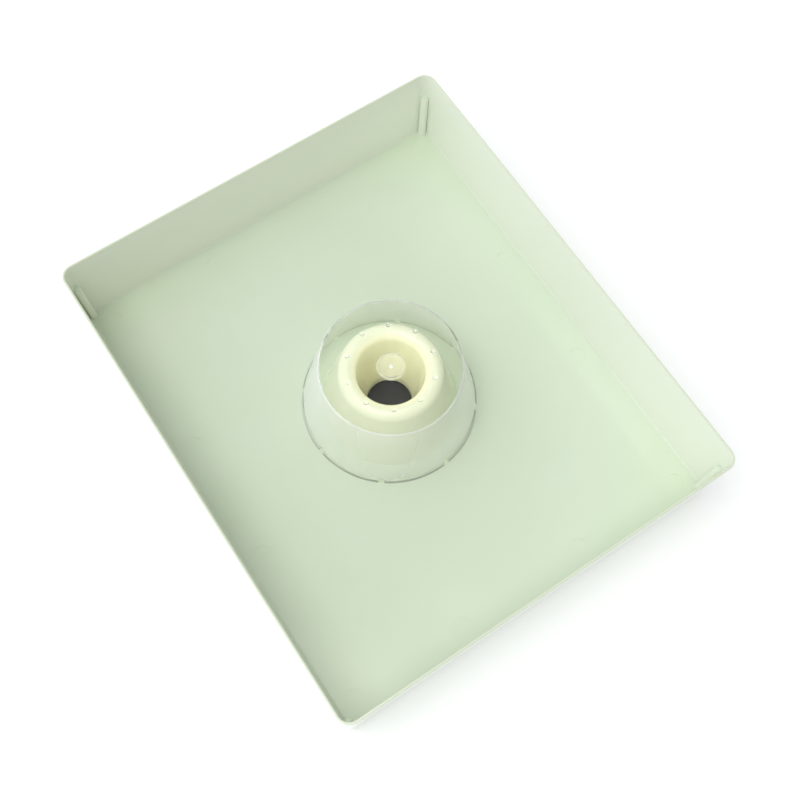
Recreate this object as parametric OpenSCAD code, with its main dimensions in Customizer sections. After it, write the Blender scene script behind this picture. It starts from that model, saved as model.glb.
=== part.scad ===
// Hive-top syrup feeder: a rectangular tray, a chimney for the bees and a clear cap over it.
// Origin: centre of the footprint, on the surface that the tray rests on. +Z is up.

/* [Tray] */
// Length of the rim, outside
tray_l = 500; // [440:1:520]
// Width of the rim, outside
tray_w = 422; // [360:1:430]
// Depth from the rim to the floor
tray_depth = 89.5; // [86:0.5:110]
// Thickness of the walls
wall_t = 2.3; // [1.8:0.1:3]
// Thickness of the floor
floor_t = 2.5; // [2:0.1:4]
// Space left under the floor for the bees
bee_space = 8; // [6:0.5:10]
// How far a wall leans in from the rim to the floor
draft = 4.3; // [1:0.1:6]
// Outside radius of the upright corners, at the rim
corner_r = 13; // [10:0.5:20]
// Radius where the walls meet the floor
fillet_r = 2; // [1:0.5:5]

/* [Corner posts] */
// Radius of each corner post's rounded front
post_r = 4.2; // [3:0.1:5]
// Height of the posts above the floor
post_h = 60; // [40:1:75]

/* [Ejector marks] */
// Radius of a round mark on the floor
mark_r = 8; // [5:0.5:10]
// Depth of a mark
mark_depth = 0.5; // [0.2:0.1:0.8]

/* [Chimney] */
// Radius of the passage
bore_r = 22.2; // [18:0.1:24]
// Radius of the foot that stands on the floor
foot_r = 68; // [60:0.5:70]
// Radius of the crest's middle line
crest_ring_r = 41.3; // [38:0.1:44]
// Radius of the rounded crest
crest_r = 9; // [7:0.1:10]
// Height of the crest above the floor
chimney_h = 76.7; // [70:0.1:77]
// Thickness of the chimney
chimney_t = 2; // [1.5:0.1:2.5]

/* [Cap] */
// Outside radius at the lower edge
cap_base_r = 87; // [85:0.5:90]
// Outside radius at the top
cap_top_r = 68.4; // [66:0.1:72]
// Height of the cap
cap_h = 86.5; // [86:0.5:88]
// Thickness of the cap
cap_t = 1.9; // [1.5:0.1:2.2]
// Turn of the cap from the tray's long side, as it stands
cap_turn = 6.3; // [0:0.1:45]
// Number of syrup notches
notch_count = 8; // [4:1:12]
// Width of a notch at the lower edge
notch_w = 6.6; // [5:0.1:8]
// Height of a notch
notch_h = 7.5; // [4:0.1:10]

/* [Hidden] */
$fn = 96;

tray_colour = [0.85, 0.91, 0.82];
chimney_colour = [0.93, 0.94, 0.80];
cap_colour = [0.90, 0.94, 0.92, 0.35];

floor_z = bee_space + floor_t;
rim_z = floor_z + tray_depth;
lean = draft / tray_depth;
rim_chamfer = 0.5;
corner_steps = 10;
fillet_steps = 5;
post_inset = 10.5;
post_chamfer = 2;
disc_t = 0.1;
cut = 1;

// The marks lie on a 4 by 4 grid along the walls, without its middle four
mark_edge = [26.7, 25.9];
mark_middle = [64.6, 67.9];
mark_x = [tray_l / 2 - mark_edge[0], mark_middle[0]];
mark_y = [tray_w / 2 - mark_edge[1], mark_middle[1]];

// The chimney's spigot fills the socket in the floor
socket_r = bore_r + chimney_t;
spigot_drop = 3.7;
bore_top = 6;
crest_z = chimney_h - crest_r;

// Details of the cap: its rounded top edge, the thicker band at its foot, the beaded dimple
// round the gate's nub, the pads on the underside, and the flutes over the notches
edge_r = 2.5;
band_h = 7.8;
band_step = 0.5;
dimple_r = 12.2;
dimple_depth = 0.7;
dimple_wall = 1.6;
bead_r = 0.8;
bead_rise = 0.5;
gate_r = 1.5;
gate_h = 1.2;
pad_count = 10;
pad_ring_r = 42.3;
pad_r = 2.6;
pad_h = 1;
notch_lean = 1;
flute_w = 4.6;
flute_top = 40;
flute_depth = 0.4;
flute_overlap = 0.06;

// Points of a quarter arc about c, from angle a
function quarter(c, r, a) =
    [for (i = [0:corner_steps]) c + r * [cos(a + 90 * i / corner_steps), sin(a + 90 * i / corner_steps)]];

// A rounded rectangle inset from the rim's outline, as a ring of points at height z
function ring(inset, z) =
    let (r = corner_r - inset, x = tray_l / 2 - corner_r, y = tray_w / 2 - corner_r)
    [for (p = concat(quarter([x, y], r, 0), quarter([-x, y], r, 90),
                     quarter([-x, -y], r, 180), quarter([x, -y], r, 270))) [p[0], p[1], z]];

// Inset of the walls' outside face at height z
function face_inset(z) = (rim_z - z) * lean;

// Direction, from the centre c of a circle, of the point where a line from p touches it
function touch_angle(c, r, p, side) =
    atan2(p[1] - c[1], p[0] - c[0]) + side * acos(r / norm(p - c));

function polar(c, r, a) = c + r * [cos(a), sin(a)];

// A solid skinned over rings that all have the same number of points, from the lowest up
module loft(rings) {
    n = len(rings[0]);
    last = (len(rings) - 1) * n;
    sides = [for (k = [0:n:last - 1], i = [0:n - 1])
        [k + i, k + n + i, k + n + (i + 1) % n, k + (i + 1) % n]];
    bottom = [for (i = [0:n - 1]) i];
    top = [for (i = [n - 1:-1:0]) last + i];
    polyhedron(points = [for (r = rings) each r], faces = concat([bottom], sides, [top]));
}

// The tray's outside, filled
module tray_outside() {
    loft([ring(face_inset(0), 0), ring(face_inset(rim_z - rim_chamfer), rim_z - rim_chamfer),
          ring(rim_chamfer, rim_z)]);
}

// The syrup basin, with a round foot where its walls meet the floor
module basin() {
    foot = [for (i = [0:fillet_steps]) let (a = 90 * i / fillet_steps, z = floor_z + fillet_r * (1 - cos(a)))
        ring(face_inset(z) + wall_t + fillet_r * (1 - sin(a)), z)];
    loft(concat(foot, [ring(wall_t, rim_z - rim_chamfer), ring(wall_t - rim_chamfer, rim_z),
                       ring(wall_t - rim_chamfer, rim_z + cut)]));
}

// The space under the floor, inside the skirt
module under_floor() {
    loft([ring(face_inset(0) + wall_t, -cut), ring(face_inset(bee_space) + wall_t, bee_space)]);
}

// One post in the corner (sx, sy), leaning with the walls
module post(sx, sy) {
    levels = [[0, post_r], [post_h - post_chamfer, post_r], [post_h, post_r - post_chamfer]];
    hull()
        for (level = levels)
            let (inset = post_inset - level[0] * lean)
                translate([sx * (tray_l / 2 - inset), sy * (tray_w / 2 - inset), floor_z - disc_t + level[0]])
                    cylinder(r = level[1], h = disc_t, $fn = 32);
}

module ejector_mark(x, y) {
    translate([x, y, floor_z - mark_depth]) cylinder(r = mark_r, h = mark_depth + cut);
}

module tray() {
    color(tray_colour) {
        difference() {
            tray_outside();
            basin();
            under_floor();
            translate([0, 0, bee_space - cut]) cylinder(r = socket_r, h = floor_t + 2 * cut);
            for (sx = [-1, 1], sy = [-1, 1]) {
                ejector_mark(sx * mark_x[0], sy * mark_y[0]);
                ejector_mark(sx * mark_x[1], sy * mark_y[0]);
                ejector_mark(sx * mark_x[0], sy * mark_y[1]);
            }
        }
        for (sx = [-1, 1], sy = [-1, 1]) post(sx, sy);
    }
}

// Half section of the chimney, filled, with its flanks moved in by t
module chimney_half(t) {
    crest = [crest_ring_r, crest_z];
    outer = touch_angle(crest, crest_r, [foot_r, 0], 1);
    inner = touch_angle(crest, crest_r, [bore_r, bore_top], -1);
    translate(crest) circle(r = crest_r - t);
    polygon([
        [foot_r - t / cos(outer), 0],
        polar(crest, crest_r - t, outer),
        polar(crest, crest_r - t, inner),
        [bore_r + t, bore_top],
        [bore_r + t, 0],
    ]);
}

module chimney() {
    color(chimney_colour)
        translate([0, 0, floor_z])
            rotate_extrude() {
                difference() {
                    chimney_half(0);
                    chimney_half(chimney_t);
                }
                translate([bore_r, -spigot_drop]) square([chimney_t, spigot_drop + bore_top]);
            }
}

// Half section of the cap, filled, with its faces moved in by t
module cap_half(t) {
    edge = [cap_top_r - edge_r, cap_h - edge_r];
    foot = [cap_base_r - band_step, 0];
    side = touch_angle(edge, edge_r, foot, 1);
    translate(edge) circle(r = edge_r - t);
    polygon([
        [0, 0],
        [foot[0] - t / cos(side), 0],
        polar(edge, edge_r - t, side),
        [edge[0], cap_h - t],
        [0, cap_h - t],
    ]);
}

// How deep the pads and the gate's nub reach into the top
cap_root = cap_t / 2;

// Radius of the cap's wall, outside, at height z
function cap_r(z) = cap_base_r - band_step - z * (cap_base_r - band_step - cap_top_r) / (cap_h - edge_r);

// The thicker band round the lower edge, as a half section
module cap_band() {
    polygon([
        [cap_r(0) - band_step, 0],
        [cap_base_r, 0],
        [cap_r(band_h) + band_step, band_h],
        [cap_r(band_h) - band_step, band_h + band_step],
    ]);
}

module notch() {
    half = notch_w / 2;
    rotate([90, 0, 90])
        linear_extrude(cap_base_r + cut)
            polygon([
                [-half - notch_lean * cut / notch_h, -cut],
                [half + notch_lean * cut / notch_h, -cut],
                [half - notch_lean, notch_h],
                [notch_lean - half, notch_h],
            ]);
}

// A shallow flute up the inside of the wall over a notch, fading out at its top
module flute() {
    inside = function(z) cap_r(z) - cap_t - flute_overlap;
    rotate([90, 0, 0])
        linear_extrude(flute_w, center = true)
            polygon([
                [inside(0) - cut, 0],
                [inside(0) + flute_depth, 0],
                [inside(notch_h) + flute_depth, notch_h],
                [inside(flute_top), flute_top],
                [inside(flute_top) - cut, flute_top],
            ]);
}

// A domed pad on the underside of the cap's top
module pad() {
    dome_r = (pad_r * pad_r + pad_h * pad_h) / (2 * pad_h);
    translate([pad_ring_r, 0, cap_h - cap_t - pad_h])
        intersection() {
            translate([0, 0, dome_r]) sphere(r = dome_r);
            cylinder(r = pad_r + cut, h = pad_h + cap_root);
        }
}

// The bead round the dimple, on the top's upper face
module bead() {
    rotate_extrude() translate([dimple_r, bead_rise - bead_r]) circle(r = bead_r, $fn = 48);
}

// The nub that the moulding gate leaves in the dimple
module gate() {
    translate([0, 0, -cap_root]) cylinder(r = gate_r, h = cap_root + gate_h - gate_r);
    translate([0, 0, gate_h - gate_r]) sphere(r = gate_r);
}

module cap() {
    color(cap_colour)
        translate([0, 0, floor_z]) rotate([0, 0, cap_turn]) {
            difference() {
                union() {
                    rotate_extrude() {
                        difference() {
                            cap_half(0);
                            cap_half(cap_t);
                        }
                        cap_band();
                    }
                    translate([0, 0, cap_h - cap_t - dimple_depth])
                        cylinder(r = dimple_r + dimple_wall, h = cap_t);
                    for (i = [0:pad_count - 1]) rotate([0, 0, 360 * i / pad_count]) pad();
                }
                translate([0, 0, cap_h - dimple_depth]) cylinder(r = dimple_r, h = cut + dimple_depth);
                for (i = [0:notch_count - 1]) rotate([0, 0, 360 * i / notch_count]) {
                    notch();
                    flute();
                }
            }
            translate([0, 0, cap_h]) bead();
            translate([0, 0, cap_h - dimple_depth]) gate();
        }
}

tray();
chimney();
cap();
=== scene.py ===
"""A hive-top syrup feeder: a pale green plastic tray, a cream chimney and a clear cap over it.

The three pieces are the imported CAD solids. This script gives them their plastics, sets soft
studio light round them and a camera above the long side.
"""

import math

import bpy
from mathutils import Matrix, Vector


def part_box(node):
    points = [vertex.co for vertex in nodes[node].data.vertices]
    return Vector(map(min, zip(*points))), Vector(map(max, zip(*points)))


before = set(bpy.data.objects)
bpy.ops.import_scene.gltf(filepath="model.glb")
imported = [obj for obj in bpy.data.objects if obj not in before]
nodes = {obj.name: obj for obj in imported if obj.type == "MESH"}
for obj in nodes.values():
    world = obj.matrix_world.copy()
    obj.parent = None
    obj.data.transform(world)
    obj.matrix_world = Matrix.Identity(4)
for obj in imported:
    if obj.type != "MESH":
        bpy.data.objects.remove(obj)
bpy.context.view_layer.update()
scene = bpy.context.scene

RIM_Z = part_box("tray")[1].z
CAP_LOW, CAP_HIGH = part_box("cap")
CENTRE = Vector((0, 0, RIM_Z / 2))


# ---------------------------------------------------------------- node helpers


class Shader:
    """A material's node tree, with short calls for the nodes that this script uses."""

    def __init__(self, name):
        self.material = bpy.data.materials.new(name)
        self.material.use_nodes = True
        self.tree = self.material.node_tree
        self.tree.nodes.clear()
        self.out = self.tree.nodes.new("ShaderNodeOutputMaterial")

    def node(self, kind, **settings):
        n = self.tree.nodes.new("ShaderNode" + kind)
        for key, value in settings.items():
            setattr(n, key, value)
        return n

    def set(self, socket, value):
        if isinstance(value, bpy.types.NodeSocket):
            self.tree.links.new(value, socket)
        else:
            socket.default_value = value

    def place(self):
        return self.node("TexCoord").outputs["Object"]

    def height(self):
        parts = self.node("SeparateXYZ")
        self.set(parts.inputs["Vector"], self.place())
        return parts.outputs["Z"]

    def level(self):
        """1 where a surface lies level, 0 where it stands upright."""
        parts = self.node("SeparateXYZ")
        self.set(parts.inputs["Vector"], self.node("NewGeometry").outputs["Normal"])
        return self.maths("MULTIPLY", parts.outputs["Z"], parts.outputs["Z"])

    def outward(self):
        """Above 0 where a face looks away from the Z axis, and below 0 where it looks at it."""
        flat = self.node("VectorMath", operation="MULTIPLY")
        self.set(flat.inputs[0], self.node("NewGeometry").outputs["Normal"])
        flat.inputs[1].default_value = (1, 1, 0)
        dot = self.node("VectorMath", operation="DOT_PRODUCT")
        self.set(dot.inputs[0], flat.outputs["Vector"])
        self.set(dot.inputs[1], self.place())
        return dot.outputs["Value"]

    def radius(self):
        """Distance from the Z axis."""
        flat = self.node("VectorMath", operation="MULTIPLY")
        self.set(flat.inputs[0], self.place())
        flat.inputs[1].default_value = (1, 1, 0)
        length = self.node("VectorMath", operation="LENGTH")
        self.set(length.inputs[0], flat.outputs["Vector"])
        return length.outputs["Value"]

    def noise(self, scale, detail):
        """Noise of that scale per metre, in the object's own space."""
        n = self.node("TexNoise")
        self.set(n.inputs["Vector"], self.place())
        n.inputs["Scale"].default_value = scale
        n.inputs["Detail"].default_value = detail
        return n.outputs["Fac"]

    def ramp(self, value, low, high, out_low=0.0, out_high=1.0):
        """A smooth change from out_low to out_high while the value goes from low to high."""
        n = self.node("MapRange")
        n.interpolation_type = "SMOOTHSTEP"
        self.set(n.inputs["Value"], value)
        n.inputs["From Min"].default_value = low
        n.inputs["From Max"].default_value = high
        n.inputs["To Min"].default_value = out_low
        n.inputs["To Max"].default_value = out_high
        return n.outputs["Result"]

    def maths(self, operation, a, b):
        n = self.node("Math", operation=operation)
        self.set(n.inputs[0], a)
        self.set(n.inputs[1], b)
        return n.outputs["Value"]

    def mix(self, factor, a, b):
        n = self.node("Mix", data_type="RGBA")
        self.set(n.inputs["Factor"], factor)
        self.set(n.inputs["A"], a)
        self.set(n.inputs["B"], b)
        return n.outputs["Result"]

    def bump(self, height, distance, under=None):
        """A normal for relief of that many metres, on top of the relief under it."""
        n = self.node("Bump")
        self.set(n.inputs["Height"], height)
        n.inputs["Distance"].default_value = distance
        if under is not None:
            self.set(n.inputs["Normal"], under)
        return n.outputs["Normal"]

    def principled(self, **inputs):
        """A Principled node, each input named with underscores for its spaces."""
        n = self.node("BsdfPrincipled")
        for key, value in inputs.items():
            self.set(n.inputs[key.replace("_", " ")], value)
        return n

    def blend(self, factor, first, second):
        """The first shader where the factor is 0, and the second where it is 1."""
        n = self.node("MixShader")
        self.set(n.inputs["Fac"], factor)
        self.tree.links.new(first.outputs[0], n.inputs[1])
        self.tree.links.new(second.outputs[0], n.inputs[2])
        return n

    def finish(self, shader):
        self.tree.links.new(shader.outputs[0], self.out.inputs["Surface"])
        return self.material


def rgb(r, g, b):
    """A colour given as it looks on a screen, from 0 to 255, as linear light."""
    def linear(v):
        v /= 255
        return v / 12.92 if v <= 0.04045 else ((v + 0.055) / 1.055) ** 2.4
    return (linear(r), linear(g), linear(b), 1.0)


# ---------------------------------------------------------------- materials


def moulded_plastic(name, colour, deep, roughness, painted_light_sides=None, levels=(), rings=()):
    """Semi-gloss injection-moulded plastic, a little uneven in colour and in gloss.

    Upright faces that look inward are given a whiter colour of their own, painted light for what
    comes through thin walls. Each level is a colour that takes over between two heights, and
    each ring is one that takes over between two distances from the Z axis. Walls and fillets are
    glossier than flat faces, which things stand and slide on.
    """
    s = Shader(name)
    base = s.mix(s.ramp(s.noise(9, 3), 0.3, 0.7), colour, deep)
    # Painted light: inward upright faces get a whiter colour, for light that comes through thin
    # walls.
    if painted_light_sides:
        upright = s.ramp(s.level(), 0.05, 0.6, 1.0, 0.0)
        inner = s.ramp(s.outward(), -0.03, -0.01, 1.0, 0.0)
        base = s.mix(s.maths("MULTIPLY", upright, inner), base, painted_light_sides)
    for over, low, high in levels:
        base = s.mix(s.ramp(s.height(), low, high), base, over)
    for over, near, far in rings:
        base = s.mix(s.ramp(s.radius(), near, far), base, over)
    grain = s.bump(s.noise(300, 1), 0.000004)
    waves = s.bump(s.noise(14, 1), 0.0002, under=grain)
    handling = s.ramp(s.noise(12, 1), 0.3, 0.7, roughness, roughness + 0.02)
    gloss = s.maths("MULTIPLY", handling, s.ramp(s.level(), 0.93, 0.99, 0.4, 1.0))
    return s.finish(s.principled(Base_Color=base, Roughness=gloss, Normal=waves))


# The cap, in metres: its wall, the two faces of its flat top, how far the bead and the pads
# stand off them, the lip at its foot, white with a painted highlight, its top corner, also
# painted with a highlight, the gate mark, and the radius that the pads lie within. A hair is
# enough to tell a face from what stands on it.
CAP_WALL = 0.0019
BEAD_RISE = 0.0005
TOP_Z = CAP_HIGH.z - BEAD_RISE
UNDER_Z = TOP_Z - CAP_WALL
PAD_HEIGHT = 0.001
LIP_HEIGHT = 0.002
CROWN_R = 0.0684
GATE_R = 0.0015
PADS_WITHIN = 0.055
HAIR = 0.00004


def thick_places(s):
    """1 where the cap bends light: its bead and gate mark, and the pads under its top."""
    bead = s.ramp(s.height(), TOP_Z + HAIR, TOP_Z + 2 * HAIR)
    below = s.ramp(s.height(), UNDER_Z - 2 * HAIR, UNDER_Z - HAIR, 1.0, 0.0)
    above = s.ramp(s.height(), UNDER_Z - PAD_HEIGHT - 2 * HAIR, UNDER_Z - PAD_HEIGHT - HAIR)
    inside = s.ramp(s.radius(), PADS_WITHIN, PADS_WITHIN + 0.001, 1.0, 0.0)
    pads = s.maths("MULTIPLY", s.maths("MULTIPLY", below, above), inside)
    return s.maths("MAXIMUM", bead, pads)


def clear_plastic(name):
    """Clear polished plastic, with a painted white sheen where it is seen edge on.

    A thin wall hardly bends what is behind it, and a thick place does. The lip and the top
    corner are white from any side, painted highlights, and the gate mark is frosted and also
    stands in for the highlight on it. Light from the lamps passes straight through, and loses
    more where it grazes a wall.
    """
    s = Shader(name)
    facing = s.node("LayerWeight").outputs["Facing"]
    # Painted sheen: the wall turns milky white where it is seen edge on, for the reflections
    # there.
    edge = s.maths("POWER", facing, 1.9)
    steep = s.maths("POWER", facing, 4.0)
    # Painted highlights: the lip at the foot and the top corner are made white from any side.
    lip_highlight = s.ramp(s.height(), CAP_LOW.z + LIP_HEIGHT / 2, CAP_LOW.z + LIP_HEIGHT, 0.5, 0.0)
    corner_highlight = s.maths("MULTIPLY", s.ramp(s.height(), UNDER_Z - HAIR, UNDER_Z),
                     s.ramp(s.radius(), CROWN_R - 0.0018, CROWN_R - 0.0012, 0.0, 0.5))
    painted_sheen = s.maths("MAXIMUM", s.maths("MULTIPLY", edge, 0.92), s.maths("MAXIMUM", lip_highlight, corner_highlight))
    wall = s.principled(
        Base_Color=s.mix(edge, rgb(249, 250, 248), rgb(253, 255, 249)),
        Roughness=0.02,
        IOR=1.06,
        Transmission_Weight=s.maths("SUBTRACT", 1.0, painted_sheen),
        Coat_Weight=0.35,
        Coat_Roughness=0.04,
        Coat_IOR=1.38,
        Normal=s.bump(s.noise(45, 1), 0.00005),
    )
    # The gate mark is frosted, and its whiteness also stands in for a highlight on it.
    gate_frost_and_highlight = s.ramp(s.radius(), GATE_R, GATE_R + 0.0003, 0.75, 0.06)
    thick = s.principled(
        Base_Color=rgb(254, 255, 252),
        Roughness=0.02,
        IOR=1.45,
        Transmission_Weight=s.maths("SUBTRACT", 0.95, gate_frost_and_highlight),
    )
    bends = thick_places(s)
    glass = s.blend(bends, wall, thick)
    window = s.node("BsdfTransparent")
    loss = s.maths("MULTIPLY", steep, s.maths("SUBTRACT", 1.0, bends))
    s.set(window.inputs["Color"], s.mix(loss, rgb(251, 252, 250), rgb(90, 94, 86)))
    return s.finish(s.blend(s.node("LightPath").outputs["Is Shadow Ray"], glass, window))


def plain(name, colour, roughness, glow=0.0):
    s = Shader(name)
    return s.finish(s.principled(Base_Color=colour, Roughness=roughness,
                                 Emission_Color=colour, Emission_Strength=glow))


def dress(node, material):
    mesh = nodes[node].data
    mesh.materials.clear()
    mesh.materials.append(material)


# The walls are painted whiter inside, for the light that comes through them, and the rim's top
# is a little greener. The chimney is painted a deeper cream inside its funnel, for light that
# comes through its thin walls, paler from its crest outward, and green towards its foot, a
# painted bounce light from the tray.
RIM_LEVEL = [(rgb(226, 234, 208), RIM_Z - 0.0012, RIM_Z - 0.0003)]
# Painted light: the funnel keeps the deeper cream that stands for light through its thin walls,
# these rings give the paler crest and flank, and the tray's green bounce light towards the foot.
CHIMNEY_PAINTED_LIGHT_RINGS = [
    (rgb(233, 236, 209), 0.034, 0.04),
    (rgb(230, 236, 203), 0.052, 0.064),
]
dress("tray", moulded_plastic("tray_plastic", rgb(220, 232, 209), rgb(217, 230, 205), 0.12,
                              painted_light_sides=rgb(248, 252, 237), levels=RIM_LEVEL))
dress("chimney", moulded_plastic("chimney_plastic", rgb(254, 253, 220), rgb(253, 251, 216), 0.26,
                                 rings=CHIMNEY_PAINTED_LIGHT_RINGS))
dress("cap", clear_plastic("clear_plastic"))

SMOOTH_UNDER = math.radians(28)
for node in nodes.values():
    bpy.context.view_layer.objects.active = node
    node.select_set(True)
    bpy.ops.object.shade_smooth_by_angle(angle=SMOOTH_UNDER)
    node.select_set(False)


# ---------------------------------------------------------------- stage, light and camera


DISC_SIDES = 64


def disc(name, radius, z, material):
    """A flat round piece of the stage, which is no part of the feeder."""
    mesh = bpy.data.meshes.new(name)
    turns = [math.tau * i / DISC_SIDES for i in range(DISC_SIDES)]
    corners = [(radius * math.cos(a), radius * math.sin(a), z) for a in turns]
    mesh.from_pydata(corners, [], [list(range(DISC_SIDES))])
    mesh.materials.append(material)
    o = bpy.data.objects.new(name, mesh)
    scene.collection.objects.link(o)


# The floor glows a little, as a lit white sweep does, and the dark disc is painted shade for the
# unlit space under the passage.
disc("floor", 6.0, -0.0005, plain("floor", rgb(250, 250, 250), 0.9, 0.22))
disc("painted_shade_under_passage", 0.034, 0.0005, plain("painted_shade_disc", rgb(16, 15, 11), 0.5))


def area_light(name, at, size, power, colour):
    """A round soft light that faces the middle of the feeder."""
    lamp = bpy.data.lights.new(name, "AREA")
    lamp.shape = "DISK"
    lamp.size = size
    lamp.energy = power
    lamp.color = colour
    o = bpy.data.objects.new(name, lamp)
    o.location = at
    o.rotation_euler = (CENTRE - Vector(at)).to_track_quat("-Z", "Y").to_euler()
    scene.collection.objects.link(o)


def camera_pose(azimuth, elevation, distance, target, roll):
    """A camera's place and turn: azimuth 0 looks along +Y, and a positive roll tips it left."""
    a, e = math.radians(azimuth), math.radians(elevation)
    out = Vector((math.sin(a) * math.cos(e), -math.cos(a) * math.cos(e), math.sin(e)))
    right = Vector((math.cos(a), math.sin(a), 0))
    turn = Matrix.Rotation(math.radians(roll), 3, out)
    right = turn @ right
    up = out.cross(right)
    matrix = Matrix((right, up, out)).transposed().to_4x4()
    matrix.translation = target + out * distance
    return matrix


camera = bpy.data.objects.new("camera", bpy.data.cameras.new("camera"))
scene.collection.objects.link(camera)
camera.data.lens = 51.7
camera.data.clip_end = 50
camera.matrix_world = camera_pose(52.69, 69.07, 1.0965, Vector((0.0184, -0.0008, 0.05)), 3.9)
scene.camera = camera

area_light("key", (0.2, -1.25, 4.5), 3.2, 70, (1.0, 0.99, 0.95))


def studio_world(towards, dim, bright):
    """A white room that is brightest in one direction, like a wide soft window."""
    world = bpy.data.worlds.new("studio")
    world.use_nodes = True
    tree = world.node_tree
    place = tree.nodes.new("ShaderNodeTexCoord")
    facing = tree.nodes.new("ShaderNodeVectorMath")
    facing.operation = "DOT_PRODUCT"
    facing.inputs[1].default_value = Vector(towards).normalized()
    fade = tree.nodes.new("ShaderNodeMapRange")
    fade.interpolation_type = "SMOOTHSTEP"
    fade.inputs["From Min"].default_value = -0.5
    fade.inputs["From Max"].default_value = 1.0
    light = tree.nodes.new("ShaderNodeMix")
    light.data_type = "RGBA"
    tree.links.new(place.outputs["Generated"], facing.inputs[0])
    tree.links.new(facing.outputs["Value"], fade.inputs["Value"])
    tree.links.new(fade.outputs["Result"], light.inputs["Factor"])
    light.inputs["A"].default_value = dim
    light.inputs["B"].default_value = bright
    tree.links.new(light.outputs["Result"], tree.nodes["Background"].inputs["Color"])
    return world


scene.world = studio_world((-0.55, -0.8, 0.2), (0.38, 0.38, 0.38, 1), (1.03, 1.06, 1.15, 1))

scene.view_settings.view_transform = "Standard"
